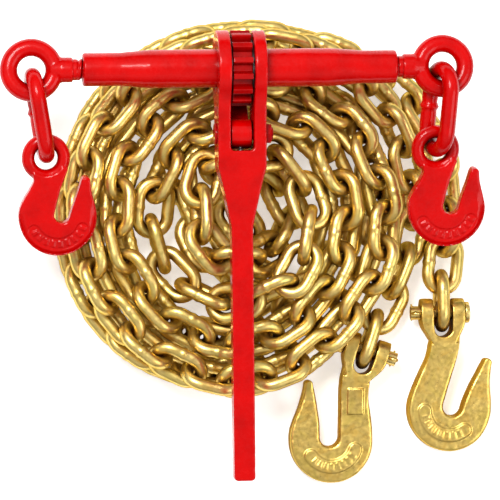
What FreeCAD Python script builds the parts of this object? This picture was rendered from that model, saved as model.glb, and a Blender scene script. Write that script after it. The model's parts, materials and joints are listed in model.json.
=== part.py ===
import FreeCAD, Part
import math
import os
from FreeCAD import Matrix, Placement, Rotation, Vector

# Ratchet load binder with grab hooks, lying on its coiled transport chain.
# Units are millimetres. +Z is up, the barrel runs along X, the handle points to -Y.

# --- chain: 3/8 in transport chain -------------------------------------------------
CHAIN_WIRE = 10.3
LINK_INSIDE_LENGTH = 31.0
LINK_INSIDE_WIDTH = 14.5
LINK_SPACING = 29.4           # from one link's hooking point to the next, chain slack

# --- the coil that the chain lies in -----------------------------------------------
COIL_CENTRE = Vector(-6, 26.5, 0)
COIL_EYE_RADIUS = 52.0        # where the turns end and the S-bend in the middle begins
TURN_SPACING = 31.0
LOWER_TURNING = 970.0         # degrees from the right side, inwards to the S-bend
UPPER_TURNING = LOWER_TURNING + 540.0
INNER_TURN_DIP = 13.0         # how far the innermost upper turn draws in over the S-bend
CLIMB_TURNING = 160.0         # degrees over which the chain climbs to the upper layer
WANDERS = ((4.0, 2.3, 1.9), (3.0, 5.1, 3.8), (2.0, 8.3, 5.7))   # mm, waves a turn, upper layer's phase
FLARE = 5.0                   # how far the outermost lower turn swings out towards hook B
DRAW_IN = 28.0                # how far the outermost upper turn draws in towards hook A
END_TURNING = 110.0           # degrees over which the two ends leave their turns
FLAT_SIDE = 305.0             # where the coil is pressed in beside hook A
FLAT_SHARE = 0.10
FLAT_SPREAD = 28.0            # degrees
SMOOTH_TURNING = 200.0        # degrees over which the upper layer starts to stray
DESCENT_TURNING = 70.0        # degrees over which its end comes down
LOWER_HEIGHT = 17.0
UPPER_HEIGHT = 50.0
LINK_GAP = 1.0                # space aimed at between links that aren't joined
JOINED_GAP = 1.0              # the same between links that are joined
OPENING = 0.07                # share of a tight bend that one settling step takes out
BEND_SHARE = 0.36             # how far the hooking point shifts towards the flat link in a tight bend
BEND_LINKS = 8                # links over which the tight bends fade to the wide turns
LINKS_BEFORE_BEND = 6.4       # links bent tightly before the S-bend's middle
LINKS_AFTER_BEND = 16.8       # the same after it, in the innermost upper turn
TAIL_LINKS = 5
HANDOVER = 30                 # links after the S-bend's middle where the flat and upright ones may swap
ROLL_SWAY = 40.0              # degrees
SETTLING_STEPS = 300
ROLL_STEP = 1.0

# --- clevis grab hooks at the chain's ends -----------------------------------------
CLEVIS_HOOK_THICKNESS = 19.0
CLEVIS_PIN_DIAMETER = 11.0
CLEVIS_PIN_CLEARANCE = 0.1
CLEVIS_PIN_TAIL = 7.5         # past the ear, with the cotter pin's hole in it
CLEVIS_PIN_HEAD = 4.0
COTTER_PLACE = 4.2            # past the ear
COTTER_STEM = 3.2             # diameter of its two legs together
COTTER_LEG = 1.6
CLEVIS_SLOT_WIDTH = 15.0
CLEVIS_EAR_WIDTH = 10.5
CLEVIS_EAR_RADIUS = 11.5
CLEVIS_HALF_WIDTH = CLEVIS_SLOT_WIDTH / 2 + CLEVIS_EAR_WIDTH
CLEVIS_END_GAP = 0.3          # between the ear and the pin's head
CLEVIS_LEAN = 18.0            # degrees between the hook's slot and its clevis
CLEVIS_PITCH = 4.15           # degrees that the hook drops from its pin to the floor
CLEVIS_PIN_HEIGHT = 17.55
HOOK_A_PIN = Vector(90.5, -82.0, CLEVIS_PIN_HEIGHT)
HOOK_B_PIN = Vector(152.8, -52.6, CLEVIS_PIN_HEIGHT)
HOOK_A_AIM = 19.0             # degrees clockwise from +Y of the clevis
HOOK_B_AIM = 0.0

# --- binder ------------------------------------------------------------------------
BINDER_CENTRE = Vector(-17.4, 141.5, 100.5)
BARREL_LENGTH = 250.0
BARREL_END_DIAMETER = 26.4
BARREL_MIDDLE_DIAMETER = 30.4
BARREL_END_LENGTH = 29.0
BARREL_TAPER_LENGTH = 24.0
BARREL_CAVITY_DIAMETER = 21.0
BARREL_THREAD_LENGTH = 40.0
SCREW_DIAMETER = 17.0
SCREW_LENGTH = 105.0
SCREW_CLEARANCE = 0.1
LEFT_NECK = 7.5
RIGHT_NECK = 4.5
COLLAR_DIAMETER = 20.0
COLLAR_LENGTH = 10.5
RING_RADIUS = 18.0            # middle of the ring's wire
RING_WIRE = 14.0
RING_REACH = 32.7             # from the collar's face to the ring's centre

GEAR_TEETH = 14
FIRST_TOOTH = 81.6            # degrees from +Y towards +Z
TOOTH_TIP_ANGLE = 8.4
TOOTH_ROOT_ANGLE = 13.6
GEAR_RADIUS = 30.0
GEAR_ROOT_RADIUS = 24.0
GEAR_WIDTH = 15.6
WASHER_THICKNESS = 1.0
WASHER_RADIUS = 22.0
SIDE_GAP = 0.2

EAR_RADIUS = 30.0
EAR_WIDTH = 10.0
EAR_GAP = GEAR_WIDTH + 2 * WASHER_THICKNESS + 4 * SIDE_GAP
HEAD_WIDTH = EAR_GAP + 2 * EAR_WIDTH
HANDLE_LENGTH = 327.0
HANDLE_DROP = 4.0             # degrees that the handle slopes down to lie on the coil
HEAD_LENGTH = 78.0
WINDOW_LENGTH = 65.0
SHAFT_START = 126.0
SHAFT_WIDTH = 17.0
SHAFT_THICKNESS = 16.0

PAWL_DISTANCE = 52.0
PAWL_RADIUS = 11.5
PAWL_TOOTH_ANGLE = 39.0       # the valley that it sits in, below the handle's line
PAWL_WIDTH = 16.4
PAWL_LIFT = 13.0              # degrees that it is held clear of the gear's teeth
PAWL_PIN_DIAMETER = 9.5
PLUNGER_DIAMETER = 6.0
PLUNGER_BORE_DEPTH = 22.0

# --- connecting links and eye grab hooks -------------------------------------------
JOINER_WIRE = 12.8
JOINER_LENGTH = 77.0
JOINER_INSIDE_WIDTH = 21.0
JOINER_DROP = 12.0            # degrees below level
LEFT_JOINER_LEAN = 9.5        # degrees to the right, going away from the ring
LEFT_JOINER_ROLL = 0.0        # 0 is on edge
LEFT_JOINER_SLACK = 0.3       # space between the link and the wire it hangs on, at each end
RIGHT_JOINER_LEAN = -5.0
RIGHT_JOINER_ROLL = 20.0
RIGHT_JOINER_SLACK = 2.2
PIN_SLACK = 0.3               # the same between an end link and its clevis pin
GRAB_EYE_RADIUS = 14.2
GRAB_EYE_WIRE = 10.4
GRAB_HOOK_THICKNESS = 13.0

UP = Vector(0, 0, 1)


# --- small helpers -----------------------------------------------------------------
def frame(origin, x_axis, y_axis):
    """A placement from an origin and two axes at right angles."""
    x = Vector(x_axis).normalize()
    y = Vector(y_axis).normalize()
    z = x.cross(y)
    rows = [(x.x, y.x, z.x, origin.x), (x.y, y.y, z.y, origin.y), (x.z, y.z, z.z, origin.z)]
    values = [v for row in rows for v in row] + [0, 0, 0, 1]
    return Placement(Matrix(*values))


def placed(shape, placement):
    result = shape.copy()
    result.Placement = placement.multiply(result.Placement)
    return result


def turned_x(shape, centre, degrees):
    """The shape turned about an axis along X through a point."""
    result = shape.copy()
    result.rotate(centre, Vector(1, 0, 0), degrees)
    return result


def rod(start, direction, length, diameter):
    return Part.makeCylinder(diameter / 2, length, start, direction)


def prism(edges, depth, half_height):
    """A closed outline in the XY plane, made into a plate of twice half_height."""
    face = Part.Face(Part.Wire(edges))
    return placed(face.extrude(UP * depth), Placement(UP * -half_height, Rotation()))


def outline(start, steps):
    """Edges from (kind, points...) steps: a line, an arc through a point, or a smooth curve."""
    edges = []
    here = Vector(*start, 0)
    for kind, *points in steps:
        points = [Vector(*p, 0) for p in points]
        if kind == "line":
            edges.append(Part.LineSegment(here, points[0]).toShape())
        elif kind == "arc":
            edges.append(Part.Arc(here, points[0], points[1]).toShape())
        else:
            curve = Part.BSplineCurve()
            curve.interpolate([here] + points)
            edges.append(curve.toShape())
        here = points[-1]
    return edges


def softened(solid, radius):
    """The plate with its face edges rounded."""
    flat = [e for e in solid.Edges if abs(e.BoundBox.ZLength) < 1e-6]
    return solid.makeFillet(radius, flat)


def oval_link(wire, inside_length, inside_width):
    """A welded oval link in the XY plane, long along X."""
    bend = (inside_width + wire) / 2
    straight = inside_length + wire - 2 * bend
    half = straight / 2
    parts = []
    for side in (1, -1):
        parts.append(rod(Vector(-half, side * bend, 0), Vector(1, 0, 0), straight, wire))
        arc = Part.makeTorus(bend, wire / 2, Vector(), UP, -180, 180, 180)
        arc.rotate(Vector(), UP, -90 * side)
        arc.translate(Vector(side * half, 0, 0))
        parts.append(arc)
    return parts[0].fuse(parts[1:]).removeSplitter().Solids[0]


# --- the chain's path --------------------------------------------------------------
def aim(degrees):
    """A level direction, clockwise from +Y."""
    return Vector(math.sin(math.radians(degrees)), math.cos(math.radians(degrees)), 0)


def end_link_points(pin, degrees):
    """Where a chain's end link hooks on: at the clevis pin and at the next link."""
    crown = (CLEVIS_PIN_DIAMETER + CHAIN_WIRE) / 2 + PIN_SLACK
    centre = pin + aim(degrees) * ((LINK_INSIDE_LENGTH + CHAIN_WIRE) / 2 - crown)
    half = aim(degrees) * (LINK_SPACING / 2)
    return centre - half, centre + half


def wander(turning, phase_share):
    """How far a turn strays outwards, by degrees turned. The layers stray differently."""
    return sum(
        size * math.sin(math.radians(waves * turning) + phase * phase_share)
        for size, waves, phase in WANDERS
    )


def turn_point(turning, radius, shift):
    """A level point of the coil, by degrees turned inwards and the radius that a neat turn has."""
    from_flat = (turning - FLAT_SIDE + 180) % 360 - 180
    radius *= 1 - FLAT_SHARE * math.exp(-((from_flat / FLAT_SPREAD) ** 2))
    radius += shift * max(0.0, 1 - turning / END_TURNING) ** 2
    return COIL_CENTRE + aim(90 - turning) * radius


def lower_turns():
    """The lower layer, from the coil's right side inwards."""
    route = []
    for turning in range(0, int(LOWER_TURNING), 2):
        to_go = LOWER_TURNING - turning
        radius = COIL_EYE_RADIUS + TURN_SPACING * (to_go / 360 + 0.5 * min(1.0, to_go / 180))
        radius += wander(turning, 0) * min(1.0, to_go / 90)
        route.append(turn_point(turning, radius, FLARE) + UP * LOWER_HEIGHT)
    return route


def middle_bend():
    """The S-bend, in two half turns through the coil's centre."""
    route = []
    for side in (1, -1):
        centre = COIL_CENTRE + aim(90 - LOWER_TURNING) * (COIL_EYE_RADIUS / 2 * side)
        for step in range(0, 180, 4):
            offset = aim(90 - LOWER_TURNING - side * step) * (COIL_EYE_RADIUS / 2)
            route.append(centre + offset + UP * LOWER_HEIGHT)
    return route


def upper_turns():
    """The upper layer, from the S-bend outwards, climbing first and coming down at its end."""
    route = []
    for turning in range(int(UPPER_TURNING), 0, -2):
        gone = UPPER_TURNING - turning
        radius = COIL_EYE_RADIUS + TURN_SPACING * max(0.0, gone / 360 - 1)
        radius -= INNER_TURN_DIP * math.sin(math.pi * min(1.0, gone / 360)) ** 2
        radius += wander(turning, 1) * min(1.0, gone / SMOOTH_TURNING)
        climbed = min(1.0, gone / CLIMB_TURNING, turning / DESCENT_TURNING)
        height = LOWER_HEIGHT + (UPPER_HEIGHT - LOWER_HEIGHT) * climbed
        route.append(turn_point(turning, radius, -DRAW_IN) + UP * height)
    return route


def chain_route():
    """Closely spaced points of the chain's route, from hook B's pin to hook A's."""
    start = list(end_link_points(HOOK_B_PIN, HOOK_B_AIM))
    near, far = end_link_points(HOOK_A_PIN, HOOK_A_AIM)
    return start + lower_turns() + middle_bend() + upper_turns() + [far, near]


def tightness(link, bend_link):
    """1 for the tightly bent links in the middle, fading to 0 on each side of them."""
    after = link - bend_link
    tight_links = LINKS_AFTER_BEND if after > 0 else LINKS_BEFORE_BEND
    return max(0.0, min(1.0, 1 + (tight_links - abs(after)) / BEND_LINKS))


def side_of(link):
    return 1 if link % 2 == 0 else -1


def spaced(route, bend_link):
    """The hooking points, each link's own straight distance apart along the route."""
    result = [route[0]]
    for a, b in zip(route, route[1:]):
        while True:
            link = len(result) - 1
            spacing = LINK_SPACING * (1 + BEND_SHARE * side_of(link) * tightness(link, bend_link))
            if (b - result[-1]).Length < spacing:
                break
            low, high = 0.0, 1.0
            for _ in range(30):
                middle = (low + high) / 2
                if (a + (b - a) * middle - result[-1]).Length < spacing:
                    low = middle
                else:
                    high = middle
            result.append(a + (b - a) * high)
    return result


def hooking_points():
    """Where each link meets the next before the chain settles, and the S-bend's middle link."""
    route = chain_route()
    steps = [(b - a).Length for a, b in zip(route, route[1:])]
    level = [Vector(point.x, point.y, 0) for point in route]
    middle = min(range(len(route)), key=lambda i: level[i].distanceToPoint(COIL_CENTRE))
    bend_link = round(sum(steps[:middle]) / LINK_SPACING)
    points = spaced(route[:-1], bend_link)
    if (points[-1] - route[-2]).Length < LINK_SPACING / 2:
        points.pop()
    return points + route[-2:], bend_link


def link_rolls(count, bend_link):
    """Each link's roll in degrees from lying flat. End links stand on edge in their clevises."""
    rolls = []
    for link in range(count):
        to_end = min(link, count - 1 - link)
        hold = max(0.0, 1 - to_end / 7, tightness(link, bend_link))
        edge = 45 if link < bend_link + HANDOVER or count % 2 else -45
        sway = ROLL_SWAY * math.sin(0.83 * link)
        rolls.append(45 * side_of(link) + edge * hold + sway * (1 - hold))
    return rolls


def link_axes(a, b, roll):
    """A link's centre, its long axis, and its side axis, from its two hooking points."""
    along = Vector(b - a).normalize()
    level = along.cross(UP).normalize()
    upright = level.cross(along)
    turn = math.radians(roll)
    return (a + b) * 0.5, along, level * math.cos(turn) + upright * math.sin(turn)


LINK_BEND = (LINK_INSIDE_WIDTH + CHAIN_WIRE) / 2
LINK_HALF_STRAIGHT = (LINK_INSIDE_LENGTH + CHAIN_WIRE) / 2 - LINK_BEND
LINK_REACH = LINK_INSIDE_LENGTH + 2 * CHAIN_WIRE


def link_line(samples=20):
    """Points along the middle of a link's wire, as (along, across) pairs."""
    points = []
    for end in (1, -1):
        for step in range(samples // 2 - 2):
            angle = math.pi * step / (samples // 2 - 3) - math.pi / 2
            along = LINK_HALF_STRAIGHT + LINK_BEND * math.cos(angle)
            points.append((end * along, end * LINK_BEND * math.sin(angle)))
        points.append((end * LINK_HALF_STRAIGHT / 3, end * LINK_BEND))
        points.append((-end * LINK_HALF_STRAIGHT / 3, end * LINK_BEND))
    return points


def closest(line_a, line_b):
    """The shortest distance between two sampled lines, and the step from a to b there."""
    best = 1e9
    step = (0.0, 0.0, 1.0)
    for ax, ay, az in line_a:
        for bx, by, bz in line_b:
            dx = bx - ax
            dy = by - ay
            dz = bz - az
            distance = dx * dx + dy * dy + dz * dz
            if distance < best:
                best = distance
                step = (dx, dy, dz)
    return math.sqrt(best), step


def wire_line(a, b, roll, shape):
    """Points along the wire of the link between two hooking points."""
    centre, along, across = link_axes(a, b, roll)
    return [
        (
            centre.x + along.x * u + across.x * v,
            centre.y + along.y * u + across.y * v,
            centre.z + along.z * u + across.z * v,
        )
        for u, v in shape
    ]


def ease_roll(link, points, rolls, lines, shape):
    """Roll a link a little, whichever way gives it more room between its two neighbours."""
    best = None
    for roll in (rolls[link], rolls[link] - ROLL_STEP, rolls[link] + ROLL_STEP):
        line = wire_line(points[link], points[link + 1], roll, shape)
        room = min(closest(line, lines[other])[0] for other in (link - 1, link + 1))
        if best is None or room > best[0]:
            best = (room, roll, line)
    rolls[link] = best[1]
    lines[link] = best[2]


def joined_moves(points, rolls, lines, shape, moves):
    """Open the bends and ease the rolls where a link fouls the next one."""
    for link in range(1, len(rolls) - 2):
        if closest(lines[link], lines[link + 1])[0] < CHAIN_WIRE + JOINED_GAP:
            bent = points[link] + points[link + 2] - points[link + 1] * 2
            for joint, share in ((link, -OPENING / 2), (link + 1, OPENING), (link + 2, -OPENING / 2)):
                moves[joint] += bent * share
            ease_roll(link, points, rolls, lines, shape)
            if link + 1 < len(rolls) - 1:
                ease_roll(link + 1, points, rolls, lines, shape)


def free_moves(points, lines, moves):
    """Push apart the links that aren't joined and come too close."""
    least = CHAIN_WIRE + LINK_GAP
    for a in range(len(lines)):
        middle = points[a] + points[a + 1]
        for b in range(a + 2, len(lines)):
            if (points[b] + points[b + 1] - middle).Length > 2 * LINK_REACH:
                continue
            distance, gap = closest(lines[a], lines[b])
            if distance < least:
                push = Vector(*gap) * (0.5 * (least - distance) / max(distance, 0.5))
                for joint, sign in ((a, -1), (a + 1, -1), (b, 1), (b + 1, 1)):
                    moves[joint] += push * sign


def clevis_moves(points, lines, moves):
    """Push the chain clear of the two clevises."""
    least = CLEVIS_EAR_RADIUS + CHAIN_WIRE / 2 + LINK_GAP
    reach = CLEVIS_HALF_WIDTH
    for pin, degrees in ((HOOK_A_PIN, HOOK_A_AIM), (HOOK_B_PIN, HOOK_B_AIM)):
        pin_line = [tuple(pin + aim(degrees + 90) * (reach * step / 6)) for step in range(-6, 7)]
        for link in range(2, len(lines) - 2):
            if (points[link] - pin).Length < 2 * LINK_REACH:
                distance, gap = closest(pin_line, lines[link])
                if distance < least:
                    push = Vector(gap[0], gap[1], 0) * (0.5 * (least - distance) / distance)
                    moves[link] += push
                    moves[link + 1] += push


def keep_off_floor(points, rolls, held):
    for link, roll in enumerate(rolls):
        _, along, across = link_axes(points[link], points[link + 1], roll)
        half_height = (
            LINK_BEND * math.hypot(along.z, across.z) + LINK_HALF_STRAIGHT * abs(along.z) + CHAIN_WIRE / 2
        )
        lift = half_height - (points[link].z + points[link + 1].z) / 2
        for joint in (link, link + 1):
            if lift > 0 and joint not in held:
                points[joint] = points[joint] + UP * lift


def settle(points, rolls, bend_link):
    """Let the chain come to rest, with no two links overlapping."""
    shape = link_line()
    held = {0, 1, len(points) - 2, len(points) - 1}
    for step in range(SETTLING_STEPS):
        falling = UP * (-0.5 if step < SETTLING_STEPS * 0.6 else 0.0)
        lines = [wire_line(points[n], points[n + 1], roll, shape) for n, roll in enumerate(rolls)]
        moves = [Vector() for _ in points]
        joined_moves(points, rolls, lines, shape, moves)
        free_moves(points, lines, moves)
        clevis_moves(points, lines, moves)
        for joint, move in enumerate(moves):
            if joint not in held:
                points[joint] = points[joint] + move + falling
        for _ in range(6):
            hold_together(points, held, bend_link)
        keep_off_floor(points, rolls, held)


def hold_together(points, held, bend_link):
    """Keep neighbouring hooking points one slack link apart."""
    for joint in range(len(points) - 1):
        step = points[joint + 1] - points[joint]
        share = (joint not in held) + (joint + 1 not in held)
        nominal = LINK_SPACING * (1 + BEND_SHARE * side_of(joint) * tightness(joint, bend_link))
        error = step.Length - min(max(step.Length, nominal - 0.6), nominal + 0.9)
        if share == 0 or error == 0.0:
            continue
        move = step * (error / step.Length / share)
        if joint not in held:
            points[joint] = points[joint] + move
        if joint + 1 not in held:
            points[joint + 1] = points[joint + 1] - move


def chain_links():
    """Every link of the settled chain, from hook B's end to hook A's, and its middle link's number."""
    points, bend_link = hooking_points()
    rolls = link_rolls(len(points) - 1, bend_link)
    settle(points, rolls, bend_link)
    link = oval_link(CHAIN_WIRE, LINK_INSIDE_LENGTH, LINK_INSIDE_WIDTH)
    links = []
    for number, roll in enumerate(rolls):
        centre, along, across = link_axes(points[number], points[number + 1], roll)
        links.append(placed(link, frame(centre, along, across)))
    return links, bend_link


def chain_nodes():
    """The chain as one node per stretch: each turn of each layer, the middle and the two tails."""
    links, bend_link = chain_links()
    count = len(links)
    lower_turn = (bend_link - 3 - TAIL_LINKS - 1) / 3
    upper_turn = (count - bend_link - 4 - TAIL_LINKS - 1) / 3
    starts = [("chain_end_link_b", 0), ("chain_tail_b", 1)]
    for turn in range(3):
        starts.append((f"chain_lower_turn_{turn + 1}", round(1 + TAIL_LINKS + turn * lower_turn)))
    starts.append(("chain_middle_bend", bend_link - 3))
    for turn in range(3):
        starts.append((f"chain_upper_turn_{3 - turn}", round(bend_link + 4 + turn * upper_turn)))
    starts += [("chain_tail_a", count - 1 - TAIL_LINKS), ("chain_end_link_a", count - 1), ("", count)]
    return {
        name: Part.Compound(links[first:last])
        for (name, first), (_, last) in zip(starts, starts[1:])
    }


# --- clevis grab hooks -------------------------------------------------------------
def clevis_hook_body(mirror):
    """A forged clevis grab hook in the XY plane. Its pin is at the origin and its slot points to +Y."""
    along = aim(CLEVIS_LEAN)
    across = aim(CLEVIS_LEAN + 90)
    bowl = Vector(-28.6, -73.5, 0)
    bowl_radius = 33.5
    slot_half = 7.8
    slot_floor = Vector(-30.2, -70.0, 0)
    plate = prism(
        outline(
            (slot_floor.x + slot_half, slot_floor.y),
            [
                ("line", (-22.0, -34)),
                ("curve", (-21.0, -24), (-19.5, -16), (-16, -6)),
                ("line", (2, -14)),
                ("curve", (2.6, -24), (1.2, -36), (2.6, -48), (4.4, -62), (bowl.x + bowl_radius, bowl.y)),
                ("arc", (bowl.x, bowl.y - bowl_radius), (bowl.x - bowl_radius, bowl.y)),
                ("curve", (-61.0, -62.5), (-56.5, -50), (-52.5, -38), (-50.6, -28)),
                ("arc", (-47.2, -24.0), (-43.6, -28)),
                ("curve", (-40.4, -44), (-38.6, -56), (slot_floor.x - slot_half, slot_floor.y)),
                ("arc", (slot_floor.x, slot_floor.y - slot_half), (slot_floor.x + slot_half, slot_floor.y)),
            ],
        ),
        CLEVIS_HOOK_THICKNESS,
        CLEVIS_HOOK_THICKNESS / 2,
    )
    plate = softened(plate, 2.5)
    wide = CLEVIS_HALF_WIDTH
    ear = CLEVIS_EAR_RADIUS
    block = Part.makeCylinder(ear, 2 * wide, Vector(), Vector(1, 0, 0))
    block = block.fuse(Part.makeBox(2 * wide, 27, 2 * ear, Vector(0, -27, -ear)))
    neck = Part.makeBox(2 * wide, 60, 2 * ear, Vector(0, -40, -ear))
    neck = neck.common(
        prism(
            outline(
                (0, 22),
                [
                    ("line", (0, -6)),
                    ("curve", (4.5, -18), (9.5, -28), (10.5, -34)),
                    ("line", (24, -34)),
                    ("curve", (26, -26), (31.5, -17), (2 * wide, -6)),
                    ("line", (2 * wide, 22)),
                    ("line", (0, 22)),
                ],
            ),
            60,
            30,
        )
    )
    block = block.removeSplitter().common(neck)
    slot = Part.makeBox(CLEVIS_SLOT_WIDTH, 60, 60, Vector(CLEVIS_EAR_WIDTH, -12, -30))
    slot = slot.fuse(
        Part.makeCylinder(
            CLEVIS_SLOT_WIDTH / 2, 60, Vector(CLEVIS_EAR_WIDTH + CLEVIS_SLOT_WIDTH / 2, -12, -30), UP
        )
    )
    block = placed(block, frame(across * -wide, across, along))
    slot = placed(slot, frame(across * -wide, across, along))
    bore = rod(across * -40, across, 80, CLEVIS_PIN_DIAMETER + 2 * CLEVIS_PIN_CLEARANCE)
    body = plate.fuse(block).removeSplitter().cut(slot).cut(bore)
    body.rotate(Vector(), UP, CLEVIS_LEAN)
    if mirror:
        body = body.mirror(Vector(), Vector(1, 0, 0))
    return body.Solids[0]


def clevis_pin():
    """The clevis pin along X, with its head at the low end and a cross hole at the other."""
    start = -CLEVIS_HALF_WIDTH - CLEVIS_END_GAP
    length = CLEVIS_HALF_WIDTH + CLEVIS_PIN_TAIL - start
    shank = rod(Vector(start, 0, 0), Vector(1, 0, 0), length, CLEVIS_PIN_DIAMETER)
    head_start = Vector(start - CLEVIS_PIN_HEAD, 0, 0)
    head = rod(head_start, Vector(1, 0, 0), CLEVIS_PIN_HEAD, CLEVIS_PIN_DIAMETER + 6)
    head = head.makeFillet(1.2, [head.Edges[0], head.Edges[2]])
    hole = rod(Vector(CLEVIS_HALF_WIDTH + COTTER_PLACE, 0, -20), UP, 40, COTTER_STEM + 0.4)
    return shank.fuse(head).removeSplitter().cut(hole).Solids[0]


def cotter_pin():
    """The split pin through the clevis pin's end: an eye above, and two legs bent apart below."""
    x = CLEVIS_HALF_WIDTH + COTTER_PLACE
    radius = CLEVIS_PIN_DIAMETER / 2
    eye = Part.makeTorus(2.6, 1.4, Vector(x, 0, radius + 4.3), Vector(0, 1, 0))
    stem = rod(Vector(x, 0, -radius - 1.5), UP, 2 * radius + 3.6, COTTER_STEM)
    parts = [eye, stem]
    for side in (1, -1):
        leg = Vector(0.25, side, -0.45)
        parts.append(rod(Vector(x, side * 0.7, -radius - 0.9), leg, 6.5, COTTER_LEG))
    return parts[0].fuse(parts[1:]).removeSplitter().Solids[0]


def clevis_nodes():
    """Both clevis hooks with their pins. Hook B is hook A's mirror image."""
    nodes = {}
    hooks = (("a", HOOK_A_PIN, HOOK_A_AIM, False), ("b", HOOK_B_PIN, HOOK_B_AIM, True))
    for name, pin, degrees, mirror in hooks:
        seat = frame(pin, aim(degrees + 90), aim(degrees))
        pitch = Placement(Vector(), Rotation(Vector(1, 0, 0), CLEVIS_PITCH))
        nodes[f"clevis_hook_{name}"] = placed(clevis_hook_body(mirror), seat.multiply(pitch))
        flip = Placement(Vector(), Rotation(UP, 180 if mirror else 0))
        for part, shape in (("clevis_pin", clevis_pin()), ("cotter_pin", cotter_pin())):
            nodes[f"{part}_{name}"] = placed(shape, seat.multiply(pitch).multiply(flip))
    return nodes


# --- binder: barrel, gear and handle -----------------------------------------------
def revolved(profile):
    """A solid turned about the X axis from (x, radius) points."""
    points = [Vector(x, radius, 0) for x, radius in profile]
    face = Part.Face(Part.makePolygon(points + points[:1]))
    return face.revolve(Vector(), Vector(1, 0, 0), 360)


def barrel_tube():
    half = BARREL_LENGTH / 2
    end = BARREL_END_DIAMETER / 2
    middle = BARREL_MIDDLE_DIAMETER / 2
    bore = SCREW_DIAMETER / 2 + SCREW_CLEARANCE
    cavity = BARREL_CAVITY_DIAMETER / 2
    edge = 1.2
    right = [
        (half - BARREL_END_LENGTH - BARREL_TAPER_LENGTH, middle),
        (half - BARREL_END_LENGTH, end),
        (half - edge, end),
        (half, end - edge),
        (half, bore + edge),
        (half - edge, bore),
        (half - BARREL_THREAD_LENGTH, bore),
        (half - BARREL_THREAD_LENGTH - 2, cavity),
    ]
    left = [(-x, radius) for x, radius in reversed(right)]
    return revolved(right + left)


def ratchet_gear():
    tooth = 360 / GEAR_TEETH
    corners = []
    for number in range(GEAR_TEETH):
        middle = FIRST_TOOTH + tooth * number
        for radius, offset in (
            (GEAR_ROOT_RADIUS, -TOOTH_ROOT_ANGLE / 2),
            (GEAR_RADIUS, -TOOTH_TIP_ANGLE / 2),
            (GEAR_RADIUS, TOOTH_TIP_ANGLE / 2),
            (GEAR_ROOT_RADIUS, TOOTH_ROOT_ANGLE / 2),
        ):
            angle = math.radians(middle + offset)
            corners.append(Vector(radius * math.cos(angle), radius * math.sin(angle), 0))
    face = Part.Face(Part.makePolygon(corners + corners[:1]))
    blank = placed(face.extrude(UP * GEAR_WIDTH), Placement(UP * (-GEAR_WIDTH / 2), Rotation()))
    bore = Part.makeCylinder(BARREL_MIDDLE_DIAMETER / 2 + 0.05, 100, Vector(0, 0, -50), UP)
    gear = blank.cut(bore)
    return placed(gear, frame(Vector(), Vector(0, 1, 0), Vector(0, 0, 1)))


def thrust_washer(side):
    """The loose washer between the gear and one ear."""
    start = GEAR_WIDTH / 2 + SIDE_GAP
    inner = BARREL_MIDDLE_DIAMETER / 2 + 0.4
    profile = [
        (side * start, inner),
        (side * start, WASHER_RADIUS),
        (side * (start + WASHER_THICKNESS), WASHER_RADIUS),
        (side * (start + WASHER_THICKNESS), inner),
    ]
    return revolved(profile)


def handle_forging():
    """The handle level, pointing to -Y, with its two ears round the barrel."""
    half_head = HEAD_WIDTH / 2
    half_shaft = SHAFT_WIDTH / 2
    front = prism(
        outline(
            (-half_head, EAR_RADIUS + 2),
            [
                ("line", (-half_head, -HEAD_LENGTH)),
                ("curve", (-half_head + 3.5, -HEAD_LENGTH - 14), (-half_shaft - 2, -SHAFT_START + 10),
                 (-half_shaft, -SHAFT_START)),
                ("line", (-half_shaft, -HANDLE_LENGTH + 3)),
                ("arc", (-half_shaft + 0.9, -HANDLE_LENGTH + 0.9), (-half_shaft + 3, -HANDLE_LENGTH)),
                ("line", (half_shaft - 3, -HANDLE_LENGTH)),
                ("arc", (half_shaft - 0.9, -HANDLE_LENGTH + 0.9), (half_shaft, -HANDLE_LENGTH + 3)),
                ("line", (half_shaft, -SHAFT_START)),
                ("curve", (half_shaft + 2, -SHAFT_START + 10), (half_head - 3.5, -HEAD_LENGTH - 14),
                 (half_head, -HEAD_LENGTH)),
                ("line", (half_head, EAR_RADIUS + 2)),
                ("line", (-half_head, EAR_RADIUS + 2)),
            ],
        ),
        100,
        50,
    )
    half_thick = SHAFT_THICKNESS / 2
    side_edges = outline(
        (-18, -EAR_RADIUS * 0.8),
        [
            ("arc", (EAR_RADIUS, 0), (-18, EAR_RADIUS * 0.8)),
            ("curve", (-30, 18.5), (-45, 16), (-HEAD_LENGTH, 14.5)),
            ("curve", (-HEAD_LENGTH - 24, 11), (-SHAFT_START, half_thick)),
            ("line", (-HANDLE_LENGTH, half_thick)),
            ("line", (-HANDLE_LENGTH, -half_thick)),
            ("line", (-SHAFT_START, -half_thick)),
            ("curve", (-HEAD_LENGTH - 24, -11), (-HEAD_LENGTH, -14.5)),
            ("curve", (-45, -16), (-30, -18.5), (-18, -EAR_RADIUS * 0.8)),
        ],
    )
    side = prism(side_edges, 100, 50)
    side = placed(side, frame(Vector(), Vector(0, 1, 0), Vector(0, 0, 1)))
    body = front.common(side)
    window = Part.makeBox(
        EAR_GAP, WINDOW_LENGTH + 60, 100, Vector(-EAR_GAP / 2, -WINDOW_LENGTH, -50)
    )
    window = window.makeFillet(2.5, [
        e for e in window.Edges if e.BoundBox.ZLength > 50 and e.BoundBox.YMax < 0
    ])
    bore = rod(Vector(-50, 0, 0), Vector(1, 0, 0), 100, BARREL_MIDDLE_DIAMETER + 0.2)
    pin_bore = rod(Vector(-50, -PAWL_DISTANCE, 0), Vector(1, 0, 0), 100, PAWL_PIN_DIAMETER + 0.1)
    plunger_bore = rod(
        Vector(0, -WINDOW_LENGTH - PLUNGER_BORE_DEPTH, 0), Vector(0, 1, 0),
        PLUNGER_BORE_DEPTH + 5, PLUNGER_DIAMETER + 0.2,
    )
    return body.cut([window, bore, pin_bore, plunger_bore]).Solids[0]


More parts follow.
